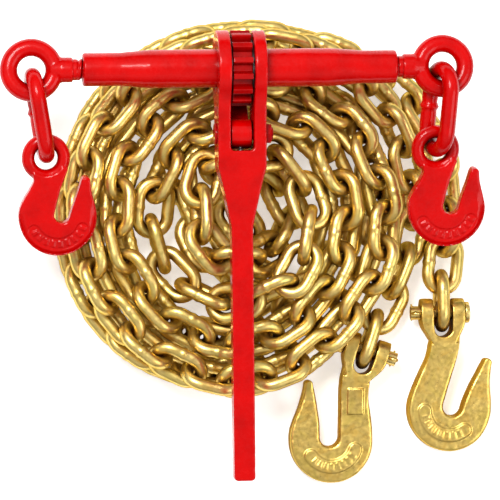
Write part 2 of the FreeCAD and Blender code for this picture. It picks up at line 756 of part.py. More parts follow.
def pawl():
    """The pawl, drawn in mesh in the handle's side plane and then lifted clear of the gear."""
    valley = math.radians(PAWL_TOOTH_ANGLE)
    radial = Vector(-math.cos(valley), -math.sin(valley), 0)
    tangent = Vector(math.sin(valley), -math.cos(valley), 0)

    def tooth(radius, offset):
        point = radial * radius + tangent * offset
        return Vector(point.x, point.y, 0)

    corners = [
        tooth(25.2, 2.2),
        tooth(25.2, -2.2),
        tooth(30.7, -2.9),
        Vector(-44, -8.2, 0),
        Vector(-PAWL_DISTANCE, 0, 0),
        Vector(-58.5, -9.0, 0),
        Vector(-60.5, -20.5, 0),
        Vector(-55.0, -21.5, 0),
        Vector(-51.0, -10.6, 0),
        Vector(-33, -24.0, 0),
        tooth(31.0, 3.0),
    ]
    face = Part.Face(Part.makePolygon(corners + corners[:1]))
    arm = placed(face.extrude(UP * PAWL_WIDTH), Placement(UP * (-PAWL_WIDTH / 2), Rotation()))
    hub = Part.makeCylinder(PAWL_RADIUS, PAWL_WIDTH, Vector(-PAWL_DISTANCE, 0, -PAWL_WIDTH / 2), UP)
    bore = Part.makeCylinder(PAWL_PIN_DIAMETER / 2 + 0.1, 60, Vector(-PAWL_DISTANCE, 0, -30), UP)
    body = hub.fuse(arm).removeSplitter().cut(bore)
    body = placed(body, frame(Vector(), Vector(0, 1, 0), Vector(0, 0, 1)))
    return turned_x(body, Vector(0, -PAWL_DISTANCE, 0), -PAWL_LIFT)


def hexagon(width, thickness, start):
    """A hexagon across flats, extruded along +X from a start x."""
    radius = width / math.sqrt(3)
    corners = [
        Vector(start, radius * math.sin(math.radians(60 * k)), radius * math.cos(math.radians(60 * k)))
        for k in range(6)
    ]
    face = Part.Face(Part.makePolygon(corners + corners[:1]))
    return face.extrude(Vector(thickness, 0, 0))


def pawl_pin():
    half = HEAD_WIDTH / 2
    pin = rod(Vector(-half - 0.2, 0, 0), Vector(1, 0, 0), HEAD_WIDTH + 6.6, PAWL_PIN_DIAMETER)
    head = rod(Vector(-half - 2.0, 0, 0), Vector(1, 0, 0), 1.9, 17.0)
    head = head.makeFillet(1.0, [e for e in head.Edges if e.BoundBox.XMax < -half - 1.8])
    return pin.fuse(head).removeSplitter().Solids[0]


def pawl_pin_nut():
    nut = hexagon(15.0, 5.0, HEAD_WIDTH / 2 + 0.1)
    ball = Part.makeSphere(9.6, Vector(HEAD_WIDTH / 2 - 1.2, 0, 0))
    return nut.common(ball).cut(rod(Vector(0, 0, 0), Vector(1, 0, 0), 60, PAWL_PIN_DIAMETER + 0.04))


def pawl_plunger():
    """The spring-loaded plunger that steadies the pawl."""
    nose = -WINDOW_LENGTH + 1.2
    radius = PLUNGER_DIAMETER / 2
    body = Part.makeCylinder(radius, 9, Vector(0, nose - 3 - 9, 0), Vector(0, 1, 0))
    tip = Part.makeCone(radius, 1.6, 3, Vector(0, nose - 3, 0), Vector(0, 1, 0))
    return body.fuse(tip).removeSplitter().Solids[0]


def pawl_spring():
    """The compression spring behind the plunger."""
    wire = 0.9
    radius = 2.3
    length = PLUNGER_BORE_DEPTH - 11.0 - wire - 0.2
    helix = Part.makeHelix(length / 5, length, radius)
    circle = Part.makeCircle(wire / 2, Vector(radius, 0, 0), Vector(0, 1, 0))
    coil = Part.Wire(helix.Edges).makePipeShell([Part.Wire([circle])], True, True)
    start = -WINDOW_LENGTH - PLUNGER_BORE_DEPTH + wire / 2 + 0.1
    return placed(coil, frame(Vector(0, start, 0), Vector(1, 0, 0), Vector(0, 0, -1)))


# --- binder: eye bolts, connecting links and grab hooks ----------------------------
def eye_bolt(neck):
    """The right eye bolt along +X, from the gear's centre, with its ring in the XY plane."""
    face = BARREL_LENGTH / 2 + neck
    centre = Vector(face + RING_REACH, 0, 0)
    screw = SCREW_DIAMETER / 2
    collar = COLLAR_DIAMETER / 2
    stem = revolved([
        (face + COLLAR_LENGTH + 8, 0),
        (face + COLLAR_LENGTH + 8, RING_WIRE / 2),
        (face + COLLAR_LENGTH - 1, collar),
        (face + 1, collar),
        (face, collar - 1),
        (face, screw),
        (face - SCREW_LENGTH + 1.5, screw),
        (face - SCREW_LENGTH, screw - 1.5),
        (face - SCREW_LENGTH, 0),
    ])
    ring = Part.makeTorus(RING_RADIUS, RING_WIRE / 2, centre)
    return stem.fuse(ring).removeSplitter().Solids[0], centre


def grab_hook():
    """An eye grab hook in the XY plane, its eye at the origin and its bowl below."""
    plate = prism(
        outline(
            (12.4, -6.8),
            [
                ("line", (17.6, -8.0)),
                ("curve", (14.6, -15.5), (11.2, -25), (8.7, -34.5), (6.4, -44.0)),
                ("arc", (12.0, -51.6), (18.6, -45.6)),
                ("curve", (21.4, -36.7), (25.0, -26.3), (27.6, -17.6)),
                ("arc", (31.2, -14.6), (35.0, -17.6)),
                ("curve", (35.8, -26.3), (38.2, -36), (40, -46.5)),
                ("arc", (9, -77.5), (-22, -46.5)),
                ("curve", (-21.2, -40), (-17.6, -32), (-12.4, -23.5), (-9.8, -17.4)),
                ("line", (-10.8, -12)),
                ("line", (-9.2, -10.6)),
                ("arc", (1.5, -13.9), (12.4, -6.8)),
            ],
        ),
        GRAB_HOOK_THICKNESS,
        GRAB_HOOK_THICKNESS / 2,
    )
    eye = Part.makeTorus(GRAB_EYE_RADIUS, GRAB_EYE_WIRE / 2)
    return plate.fuse(eye).removeSplitter().Solids[0]


def hanging_nodes(side, ring_centre, lean, roll, slack):
    """A connecting link hung in the eye bolt's ring, and the grab hook hung in the link."""
    drop = math.radians(JOINER_DROP)
    turn = math.radians(roll)
    radial = aim(180 - lean)
    tangent = aim(90 - lean)
    down = radial * math.cos(drop) - UP * math.sin(drop)
    upright = down.cross(tangent)
    wide = upright * math.cos(turn) + tangent * math.sin(turn)
    ring_wire = ring_centre + radial * RING_RADIUS
    half = (JOINER_LENGTH - JOINER_WIRE) / 2
    centre = ring_wire + down * (half - (RING_WIRE + JOINER_WIRE) / 2 - slack)
    inside = JOINER_LENGTH - 2 * JOINER_WIRE
    link = placed(oval_link(JOINER_WIRE, inside, JOINER_INSIDE_WIDTH), frame(centre, down, wide))
    hook_up = Vector(0, math.cos(drop), math.sin(drop))
    play = GRAB_EYE_RADIUS - (GRAB_EYE_WIRE + JOINER_WIRE) / 2 - slack
    link_wire = centre + down * half
    hook = placed(grab_hook(), frame(link_wire - hook_up * play, Vector(1, 0, 0), hook_up))
    print(f"{side} joiner hinge at {tuple(ring_wire)} along {tuple(wide.cross(down))}")
    print(f"{side} hook hinge at {tuple(link_wire)} along {tuple(Vector(1, 0, 0).cross(hook_up))}")
    return {f"{side}_connecting_link": link, f"{side}_grab_hook": hook}


def binder_nodes():
    """Every piece of the binder, at its place over the coil."""
    handle_parts = {
        "handle_forging": handle_forging(),
        "pawl": pawl(),
        "pawl_plunger": pawl_plunger(),
        "pawl_spring": pawl_spring(),
    }
    for name, shape in (("pawl_pin", pawl_pin()), ("pawl_pin_nut", pawl_pin_nut())):
        handle_parts[name] = placed(shape, Placement(Vector(0, -PAWL_DISTANCE, 0), Rotation()))
    nodes = {name: turned_x(shape, Vector(), HANDLE_DROP) for name, shape in handle_parts.items()}
    nodes["barrel_tube"] = barrel_tube()
    nodes["ratchet_gear"] = ratchet_gear()
    nodes["left_thrust_washer"] = thrust_washer(-1)
    nodes["right_thrust_washer"] = thrust_washer(1)
    right_bolt, right_centre = eye_bolt(RIGHT_NECK)
    left_bolt, left_centre = eye_bolt(LEFT_NECK)
    left_bolt.rotate(Vector(), UP, 180)
    nodes["right_eye_bolt"] = right_bolt
    nodes["left_eye_bolt"] = left_bolt
    nodes.update(
        hanging_nodes("left", left_centre * -1, LEFT_JOINER_LEAN, LEFT_JOINER_ROLL, LEFT_JOINER_SLACK)
    )
    nodes.update(
        hanging_nodes("right", right_centre, RIGHT_JOINER_LEAN, RIGHT_JOINER_ROLL, RIGHT_JOINER_SLACK)
    )
    return {name: placed(shape, Placement(BINDER_CENTRE, Rotation())) for name, shape in nodes.items()}


def main():
    nodes = {**binder_nodes(), **chain_nodes(), **clevis_nodes()}
    box = FreeCAD.BoundBox()
    for shape in nodes.values():
        box.add(shape.optimalBoundingBox())
    origin = Vector(box.Center.x, box.Center.y, box.ZMin)
    print(f"layout origin moved by {tuple(origin * -1)}, size {box.XLength, box.YLength, box.ZLength}")
    os.makedirs("parts", exist_ok=True)
    for name, shape in nodes.items():
        placed(shape, Placement(origin * -1, Rotation())).exportStep(f"parts/{name}.step")


if __name__ == "__main__":
    main()
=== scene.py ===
import json
import math

import bmesh
import bpy
import numpy as np
from mathutils import Matrix, Vector, noise


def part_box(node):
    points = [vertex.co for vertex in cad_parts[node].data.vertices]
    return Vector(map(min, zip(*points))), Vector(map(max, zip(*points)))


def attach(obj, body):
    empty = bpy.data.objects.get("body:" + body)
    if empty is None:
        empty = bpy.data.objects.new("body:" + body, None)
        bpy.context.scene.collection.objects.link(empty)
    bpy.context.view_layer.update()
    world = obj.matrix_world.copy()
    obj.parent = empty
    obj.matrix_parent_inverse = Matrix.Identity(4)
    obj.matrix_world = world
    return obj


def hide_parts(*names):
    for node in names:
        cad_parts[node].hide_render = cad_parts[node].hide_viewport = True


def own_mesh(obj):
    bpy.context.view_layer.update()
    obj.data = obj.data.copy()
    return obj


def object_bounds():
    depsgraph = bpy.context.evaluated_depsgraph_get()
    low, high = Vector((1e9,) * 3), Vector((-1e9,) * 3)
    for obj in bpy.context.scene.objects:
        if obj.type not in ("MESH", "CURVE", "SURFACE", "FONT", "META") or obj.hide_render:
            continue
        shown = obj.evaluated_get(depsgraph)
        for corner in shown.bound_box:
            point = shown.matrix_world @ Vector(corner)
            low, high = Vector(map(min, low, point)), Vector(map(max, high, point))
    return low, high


# Looks of the load binder chain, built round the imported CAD. Lengths are in metres.
MM = 0.001
UP = Vector((0, 0, 1))
RIGHT = Vector((1, 0, 0))
SAME_CORNER = 0.002 * MM

# The noise vectors start from the clock unless they are given a seed.
noise.seed_set(7)

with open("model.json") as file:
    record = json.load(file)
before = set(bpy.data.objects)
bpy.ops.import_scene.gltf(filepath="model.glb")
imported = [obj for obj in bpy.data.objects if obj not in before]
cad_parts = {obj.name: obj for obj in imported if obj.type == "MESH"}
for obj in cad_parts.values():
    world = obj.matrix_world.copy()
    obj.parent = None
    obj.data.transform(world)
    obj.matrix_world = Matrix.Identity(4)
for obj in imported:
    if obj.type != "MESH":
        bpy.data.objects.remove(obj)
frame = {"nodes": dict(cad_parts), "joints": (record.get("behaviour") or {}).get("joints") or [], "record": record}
cad_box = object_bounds()
NODES = frame["nodes"]
JOINTS = {joint["name"]: joint for joint in frame["joints"]}
SLOTS = {entry["node"]: entry["material_slot"] for entry in frame["record"]["subparts"]}
BODY_OF = {
    node: body for body, nodes in frame["record"]["behaviour"]["bodies"].items() for node in nodes
}


# --- meshes ------------------------------------------------------------------------
def new_object(name, mesh, node):
    """A piece that stands for a CAD node: kept inside the CAD's box, painted, and riding on the
    node's body."""
    mesh.name = name
    places = np.empty(3 * len(mesh.vertices))
    mesh.vertices.foreach_get("co", places)
    inside = np.clip(places.reshape(-1, 3), cad_box[0], cad_box[1])
    mesh.vertices.foreach_set("co", inside.ravel())
    mesh.polygons.foreach_set("use_smooth", [True] * len(mesh.polygons))
    piece = bpy.data.objects.new(name, mesh)
    bpy.context.scene.collection.objects.link(piece)
    body = BODY_OF[node]
    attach(piece, body)
    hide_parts(node)
    paint(piece, node)
    return piece


def mesh_from(vertices, faces):
    mesh = bpy.data.meshes.new("piece")
    mesh.from_pydata([tuple(v) for v in vertices], [], faces)
    mesh.validate()
    mesh.update()
    return mesh


def tube_grid(rings, closed):
    """Faces between rings of equally many points. A closed tube's last ring joins its first."""
    count = len(rings)
    around = len(rings[0])
    faces = []
    for number in range(count if closed else count - 1):
        ring = number * around
        following = (number + 1) % count * around
        for i in range(around):
            j = (i + 1) % around
            faces.append((ring + i, following + i, following + j, ring + j))
    if not closed:
        last_ring = (count - 1) * around
        faces.append(tuple(range(around)))
        faces.append(tuple(last_ring + i for i in reversed(range(around))))
    return [v for ring in rings for v in ring], faces


def merged_copy(node):
    """A CAD node's mesh with the corners that its faces share made one."""
    work = bmesh.new()
    work.from_mesh(NODES[node].data)
    bmesh.ops.remove_doubles(work, verts=work.verts, dist=SAME_CORNER)
    return work


def plain_mesh(work, name):
    """Turn a bmesh into a mesh and free it."""
    mesh = bpy.data.meshes.new(name)
    work.to_mesh(mesh)
    work.free()
    return mesh


def linked_faces(seed, seen):
    """The faces of the closed shell that a vertex is on, in order. Its vertices join seen."""
    stack = [seed]
    faces = set()
    seen.add(seed.index)
    while stack:
        vertex = stack.pop()
        faces.update(vertex.link_faces)
        for edge in vertex.link_edges:
            other = edge.other_vert(vertex)
            if other.index not in seen:
                seen.add(other.index)
                stack.append(other)
    return sorted(faces, key=lambda face: face.index)


def link_frames(node):
    """Centre, long axis and side axis of each link in a CAD node."""
    work = merged_copy(node)
    work.verts.index_update()
    work.faces.index_update()
    seen = set()
    frames = []
    for seed in work.verts:
        if seed.index in seen:
            continue
        faces = linked_faces(seed, seen)
        areas = np.array([face.calc_area() for face in faces])
        middles = np.array([face.calc_center_median() for face in faces])
        centre = (middles * areas[:, None]).sum(0) / areas.sum()
        offsets = middles - centre
        spread = (offsets * areas[:, None]).T @ offsets
        _, axes = np.linalg.eigh(spread)
        frames.append((Vector(centre), Vector(axes[:, 2]), Vector(axes[:, 1])))
    work.free()
    return sorted(frames, key=lambda link: tuple(round(c, 5) for c in link[0]))


# A weld is a bead round the wire at the middle of a leg, with a collar on each side of it.
WELD_SPREAD = 1.7 * MM
COLLAR_PLACE = 3.6 * MM
COLLAR_SPREAD = 1.5 * MM
COLLAR_SHARE = 0.25
LINK_GRAIN = 0.09 * MM
LINK_GRAIN_SCALE = 180
WELD_SIDE_SCALE = 97


def bell(distance, spread):
    return math.exp(-((distance / spread) ** 2))


def oval_rings(wire, length, width, along_steps, around, weld_side, weld):
    """Rings of an oval link's wire, in (along, side, normal), with a weld bead on one leg and a
    shallow collar on each side of the bead."""
    bend = (width - wire) / 2
    half = length / 2 - wire / 2 - bend
    path = []
    leg_steps = along_steps // 2
    bend_steps = along_steps - leg_steps
    for end in (1, -1):
        for step in range(bend_steps):
            angle = math.pi * (step / bend_steps - 0.5)
            out = Vector((math.cos(angle) * end, math.sin(angle) * end, 0))
            path.append((Vector((half * end, 0, 0)) + out * bend, out))
        for step in range(leg_steps):
            place = half * end * (1 - 2 * step / leg_steps)
            out = Vector((0, end, 0))
            path.append((Vector((place, bend * end, 0)), out))
    rings = []
    for point, out in path:
        on_leg = out.y * weld_side > 0.99
        bead = bell(point.x, WELD_SPREAD) if on_leg else 0.0
        collar = bell(abs(point.x) - COLLAR_PLACE, COLLAR_SPREAD) if on_leg else 0.0
        radius = wire / 2 + weld * bead - COLLAR_SHARE * weld * collar
        rings.append([
            point + out * (radius * math.cos(turn)) + UP * (radius * math.sin(turn))
            for turn in (2 * math.pi * k / around for k in range(around))
        ])
    return rings


def links_mesh(frames, wire, length, width, along_steps, around, weld):
    """Oval links in their frames. Noise picks the leg that each link's weld is on."""
    vertices = []
    faces = []
    for centre, along, side in frames:
        normal = along.cross(side)
        weld_side = 1 if noise.noise(centre * WELD_SIDE_SCALE) > 0 else -1
        ring_vertices, ring_faces = tube_grid(
            oval_rings(wire, length, width, along_steps, around, weld_side, weld), True
        )
        start = len(vertices)
        for v in ring_vertices:
            place = centre + along * v.x + side * v.y + normal * v.z
            place += noise.noise_vector(place * LINK_GRAIN_SCALE) * LINK_GRAIN
            vertices.append(place)
        faces += [tuple(start + i for i in face) for face in ring_faces]
    return mesh_from(vertices, faces)


def remeshed(node, voxel, smoothing):
    """A forged-looking copy of a CAD node: evenly meshed, with its sharp edges worn round."""
    mesh = plain_mesh(merged_copy(node), "work")
    source = bpy.data.objects.new("work", mesh)
    bpy.context.scene.collection.objects.link(source)
    remesh = source.modifiers.new("remesh", "REMESH")
    remesh.mode = "VOXEL"
    remesh.voxel_size = voxel
    smooth = source.modifiers.new("smooth", "SMOOTH")
    smooth.factor = 0.5
    smooth.iterations = smoothing
    graph = bpy.context.evaluated_depsgraph_get()
    result = bpy.data.meshes.new_from_object(source.evaluated_get(graph))
    bpy.data.objects.remove(source)
    bpy.data.meshes.remove(mesh)
    return result


def shaped(mesh, shift):
    """Move each vertex by shift(place, normal)."""
    normals = [Vector(v.vector) for v in mesh.vertex_normals]
    for vertex, normal in zip(mesh.vertices, normals):
        vertex.co += shift(vertex.co, normal)
    mesh.update()
    return mesh


def ease(value, low, high):
    """0 up to low and 1 from high on, with a smooth rise between them."""
    t = max(0.0, min(1.0, (value - low) / (high - low)))
    return t * t * (3 - 2 * t)


def band(value, low, high, edge):
    """1 between low and high, easing to 0 outside them over edge."""
    return ease(value, low - edge, low) * (1 - ease(value, high, high + edge))


COARSE_SCALE = 90
FINE_SCALE = 320
FINEST_SCALE = 800
FINEST_SHARE = 0.6


def forged_grain(place, coarse, fine):
    """A forging's uneven surface, as a height."""
    return (
        noise.noise(place * COARSE_SCALE) * coarse
        + noise.noise(place * FINE_SCALE) * fine
        + noise.noise(place * FINEST_SCALE) * fine * FINEST_SHARE
    )


# --- materials ---------------------------------------------------------------------
WHITE = (1.0, 1.0, 1.0)


def fill_ramp(ramp, stops):
    """Set a colour ramp to (place, colour) stops."""
    while len(ramp.elements) < len(stops):
        ramp.elements.new(0.5)
    for element, (place, colour) in zip(ramp.elements, stops):
        element.position = place
        element.color = (*colour, 1)


class Nodes:
    """A material's node tree, with short ways to add to it."""

    def __init__(self, name):
        self.material = bpy.data.materials.new(name)
        self.material.use_nodes = True
        self.tree = self.material.node_tree
        self.shader = self.tree.nodes["Principled BSDF"]
        self.place = self.tree.nodes.new("ShaderNodeTexCoord").outputs["Object"]

    def add(self, kind, **sockets):
        node = self.tree.nodes.new(kind)
        for key, value in sockets.items():
            self.join(value, node.inputs[key.replace("_", " ")])
        return node

    def join(self, value, socket):
        if isinstance(value, bpy.types.NodeSocket):
            self.tree.links.new(value, socket)
        else:
            socket.default_value = value

    def noise(self, scale, detail=3.0, roughness=0.5, distortion=0.0):
        node = self.add(
            "ShaderNodeTexNoise", Vector=self.place, Scale=scale, Detail=detail,
            Roughness=roughness, Distortion=distortion,
        )
        return node.outputs["Fac"]

    def ramp(self, value, stops):
        node = self.add("ShaderNodeValToRGB", Fac=value)
        fill_ramp(node.color_ramp, stops)
        return node.outputs["Color"]

    def spread(self, value, low, high):
        """Stretch noise, which is mostly between 0.3 and 0.7, to run from low to high."""
        node = self.add("ShaderNodeMapRange", Value=value)
        node.inputs["From Min"].default_value = 0.3
        node.inputs["From Max"].default_value = 0.7
        node.inputs["To Min"].default_value = low
        node.inputs["To Max"].default_value = high
        return node.outputs["Result"]

    def multiplied(self, colour, by, share):
        node = self.add("ShaderNodeMix")
        node.data_type = "RGBA"
        node.blend_type = "MULTIPLY"
        node.inputs["Factor"].default_value = share
        self.tree.links.new(colour, node.inputs["A"])
        self.tree.links.new(by, node.inputs["B"])
        return node.outputs["Result"]

    def painted_crevice_shade(self, reach, colour):
        """Painted shade: white on open surfaces, easing to a dark colour in the corners and gaps that ambient
        occlusion finds.
        """
        node = self.add("ShaderNodeAmbientOcclusion", Distance=reach)
        node.samples = 6
        return self.ramp(node.outputs["AO"], [(0.1, colour), (0.6, WHITE)])

    def bump(self, layers):
        """Bump from (height, distance) layers, one on the other."""
        normal = None
        for height, distance in layers:
            node = self.add("ShaderNodeBump", Height=height, Strength=1.0, Distance=distance)
            if normal is not None:
                self.tree.links.new(normal, node.inputs["Normal"])
            normal = node.outputs["Normal"]
        self.tree.links.new(normal, self.shader.inputs["Normal"])

    def set(self, **sockets):
        for key, value in sockets.items():
            self.join(value, self.shader.inputs[key.replace("_", " ")])


def red_paint(name, grain, depth=1.0):
    """Thick gloss red paint, with the forging's grain faintly through it and painted shade darkening its corners.
    """
    m = Nodes(name)
    # Depth darkens the whole red; below 1 it is painted shade, for parts that sit down in shadow.
    colour = m.ramp(m.noise(55, 4), [
        (0.30, (0.42 * depth, 0.0, 0.0)),
        (0.50, (0.50 * depth, 0.0, 0.0)),
        (0.72, (0.56 * depth, 0.0, 0.0)),
    ])
    # Painted shade: the red darkens to near black in corners, gaps and slots, by ambient occlusion.
    crevice_shaded = m.multiplied(colour, m.painted_crevice_shade(16 * MM, (0.10, 0.03, 0.03)), 1.0)
    m.set(Base_Color=crevice_shaded, Roughness=m.spread(m.noise(260, 3), 0.20, 0.34), Metallic=0.0)
    m.set(Coat_Weight=0.22, Coat_Roughness=0.08, Specular_IOR_Level=0.1)
    m.bump([
        (m.noise(130, 2), 0.09 * MM * grain),
        (m.noise(650, 4), 0.05 * MM * grain),
    ])
    return m.material


def chromate(name, grain, roughness, shade=WHITE):
    """Yellow zinc chromate: bright metal under a tinted, slightly rainbow film."""
    m = Nodes(name)
    tints = [
        (0.26, (0.70, 0.56, 0.17)),
        (0.40, (0.84, 0.64, 0.20)),
        (0.50, (0.90, 0.68, 0.25)),
        (0.60, (0.88, 0.61, 0.18)),
        (0.74, (0.76, 0.62, 0.22)),
    ]
    film = m.ramp(m.noise(42, 4, 0.55, 0.8), [
        (place, tuple(c * k for c, k in zip(tint, shade))) for place, tint in tints
    ])
    grime = m.ramp(m.noise(210, 4, 0.6), [
        (0.30, (0.45, 0.36, 0.24)),
        (0.52, WHITE),
    ])
    worn = m.multiplied(film, grime, 0.3)
    # Painted shade: the chromate darkens to dark brown in the gaps between links and in other corners, by ambient
    # occlusion.
    crevice_shaded = m.multiplied(worn, m.painted_crevice_shade(10 * MM, (0.18, 0.10, 0.03)), 1.0)
    m.set(Base_Color=crevice_shaded, Metallic=1.0)
    m.set(Roughness=m.spread(m.noise(330, 3), roughness, roughness + 0.16))
    m.set(Specular_Tint=(0.22, 0.13, 0.04, 1))
    m.bump([
        (m.noise(240, 3), 0.05 * MM * grain),
        (m.noise(1100, 3), 0.012 * MM * grain),
    ])
    return m.material


def bare_steel(name, colour, roughness):
    """Turned or drawn steel with a faint grain."""
    m = Nodes(name)
    tint = m.ramp(m.noise(120, 4), [
        (0.3, tuple(c * 0.7 for c in colour)),
        (0.7, colour),
    ])
    m.set(Base_Color=tint, Metallic=1.0)
    m.set(Roughness=m.spread(m.noise(500, 3), roughness, roughness + 0.15))
    m.bump([(m.noise(900, 2), 0.05 * MM)])
    return m.material


MATERIALS = {
    "red_paint": red_paint("red_paint", 1.0),
    # The gear's and the pawl's reds are darkened to 0.7 as painted shade, where they sit down between the handle's
    # ears.
    "gear_red": red_paint("gear_red", 0.8, 0.7),
    "pawl_pin_red": red_paint("pawl_pin_red", 0.6, 0.7),
    # The washers' steel is near-black: painted shade for the dark gap between the gear and the ears.
    "washer_steel": bare_steel("washer_steel", (0.10, 0.09, 0.09), 0.4),
    "spring_steel": bare_steel("spring_steel", (0.35, 0.35, 0.36), 0.35),
    "plunger_steel": bare_steel("plunger_steel", (0.5, 0.5, 0.51), 0.25),
    "chain_chromate": chromate("chain_chromate", 0.5, 0.29, (0.93, 0.92, 0.86)),
    "hook_chromate": chromate("hook_chromate", 1.2, 0.27, (0.86, 0.80, 0.61)),
    "pin_chromate": chromate("pin_chromate", 0.6, 0.22),
}


def paint(piece, node):
    piece.data.materials.clear()
    piece.data.materials.append(MATERIALS[SLOTS[node]])


# --- chain -------------------------------------------------------------------------
CHAIN_WIRE = 10.3 * MM
CHAIN_LINK_LENGTH = 51.6 * MM
CHAIN_LINK_WIDTH = 35.1 * MM
CHAIN_INSET = 0.1 * MM


def build_chain():
    """The coil's links, drawn in a little so that the weld and the grain stay off their neighbours."""
    for node in sorted(name for name in NODES if name.startswith("chain_")):
        mesh = links_mesh(
            link_frames(node), CHAIN_WIRE - CHAIN_INSET, CHAIN_LINK_LENGTH - CHAIN_INSET,
            CHAIN_LINK_WIDTH - CHAIN_INSET, along_steps=26, around=18, weld=0.5 * MM,
        )
        new_object("welded_" + node, mesh, node)


# --- connecting links --------------------------------------------------------------
JOINER_WIRE = 12.8 * MM
JOINER_LENGTH = 77.0 * MM
JOINER_WIDTH = 46.6 * MM


def build_connecting_links():
    for side in ("left", "right"):
        node = f"{side}_connecting_link"
        mesh = links_mesh(
            link_frames(node), JOINER_WIRE, JOINER_LENGTH, JOINER_WIDTH,
            along_steps=40, around=32, weld=1.3 * MM,
        )
        new_object("forged_" + node, mesh, node)


# --- raised and sunk panels on the hooks -------------------------------------------
# They go where a surface faces the same way as the hook's flat face, to this cosine. A hook's
# panel is given as its inner and outer radius about the bowl and its first and last angle, and
# its marks as their inner and outer radius, first angle, step and count. Angles are in degrees.
PANEL_FACING = 0.75
PANEL_EDGE = 0.5 * MM
MARK_EDGE = 0.7 * MM
MARK_END = 2.5
MARK_ARC = 6


def hook_face(place, origin, across, along, normal):
    """A place in a hook's own frame: across it, along it and out of its flat face."""
    offset = place - origin
    return offset.dot(across), offset.dot(along), offset.dot(normal)


def marks(x, y, centre, inner, outer, first, step, count):
    """1 on each of a row of bars round a hook's bowl, 0 off them."""
    dx = x - centre[0]
    dy = y - centre[1]
    angle = math.degrees(math.atan2(dy, dx))
    in_row = band(math.hypot(dx, dy), inner, outer, MARK_EDGE)
    starts = [first + step * number for number in range(count)]
    return in_row * sum(band(angle, start, start + MARK_ARC, MARK_END) for start in starts)


def rounded_crescent(x, y, centre, inner, outer, start, end):
    """1 inside a crescent round a hook's bowl, 0 outside it. The angles are those of the centres
    of its round ends."""
    dx = x - centre[0]
    dy = y - centre[1]
    middle = (inner + outer) / 2
    angle = math.radians(max(start, min(end, math.degrees(math.atan2(dy, dx)))))
    from_middle = math.hypot(dx - middle * math.cos(angle), dy - middle * math.sin(angle))
    half = (outer - inner) / 2
    return 1 - ease(from_middle, half - PANEL_EDGE, half + PANEL_EDGE)


# --- red eye grab hooks ------------------------------------------------------------
GRAB_BOWL = (9 * MM, -46.5 * MM)
GRAB_PANEL = (17 * MM, 26.5 * MM, -150, -26)
GRAB_PANEL_DEPTH = 1.0 * MM
GRAB_MARKS = (19.5 * MM, 24 * MM, -148, 15, 9)
GRAB_MARK_HEIGHT = 0.9 * MM
GRAB_SLOPE_START = 25 * MM
GRAB_SLOPE_END = 31 * MM
GRAB_SLOPE_DROP = 2.4 * MM
GRAB_EYE_PLAY = 2.6 * MM
GRAB_SLACK = {"left": 0.3 * MM, "right": 2.2 * MM}


def grab_hook_shift(origin, along, normal):
    """Gives an eye grab hook its grain, a sunk panel with raised bars, and a bowl that falls
    away to its rim."""
    def shift(place, vertex_normal):
        move = vertex_normal * forged_grain(place, 0.16 * MM, 0.05 * MM)
        facing = vertex_normal.dot(normal)
        if abs(facing) > PANEL_FACING:
            x, y, _ = hook_face(place, origin, RIGHT, along, normal)
            panel = rounded_crescent(x, y, GRAB_BOWL, *GRAB_PANEL)
            mark = marks(x, y, GRAB_BOWL, *GRAB_MARKS)
            rim = math.hypot(x - GRAB_BOWL[0], y - GRAB_BOWL[1])
            low_side = 1 - ease(y - GRAB_BOWL[1], -4 * MM, 16 * MM)
            slope = ease(rim, GRAB_SLOPE_START, GRAB_SLOPE_END) * GRAB_SLOPE_DROP * low_side
            depth = GRAB_PANEL_DEPTH * panel - GRAB_MARK_HEIGHT * mark + slope
            move -= normal * math.copysign(depth, facing)
        return move

    return shift


def build_grab_hooks():
    for side in ("left", "right"):
        node = f"{side}_grab_hook"
        joint = JOINTS[f"{side}_hook_swing"]
        normal = Vector(joint["axis"])
        along = normal.cross(RIGHT)
        origin = Vector(joint["pos_m"]) - along * (GRAB_EYE_PLAY - GRAB_SLACK[side])
        mesh = shaped(remeshed(node, 0.75 * MM, 20), grab_hook_shift(origin, along, normal))
        new_object("forged_" + node, mesh, node)


# --- gold clevis grab hooks --------------------------------------------------------
CLEVIS_PITCH = math.radians(4.15)
CLEVIS_LEAN = math.radians(18)
CLEVIS_BOWL = (-28.6 * MM, -73.5 * MM)
CLEVIS_PANEL = (15 * MM, 25.5 * MM, -145, -18)
CLEVIS_PANEL_HEIGHT = 1.3 * MM
CLEVIS_PANEL_TOP = -22 * MM
CLEVIS_MARKS = (17.8 * MM, 22.8 * MM, -134, 14, 8)
CLEVIS_MARK_HEIGHT = 0.4 * MM
CLEVIS_SHANK_HALF = 9.5 * MM
CLEVIS_FORK_HALF = 11.4 * MM
CLEVIS_NECK_TOP = -24 * MM
CLEVIS_NECK_BLEND = (-52 * MM, -28 * MM)
LABEL_ACROSS = (-15.5 * MM, -3.5 * MM)
LABEL_ALONG = (-51 * MM, -31 * MM)
LABEL_EDGE = 0.8 * MM


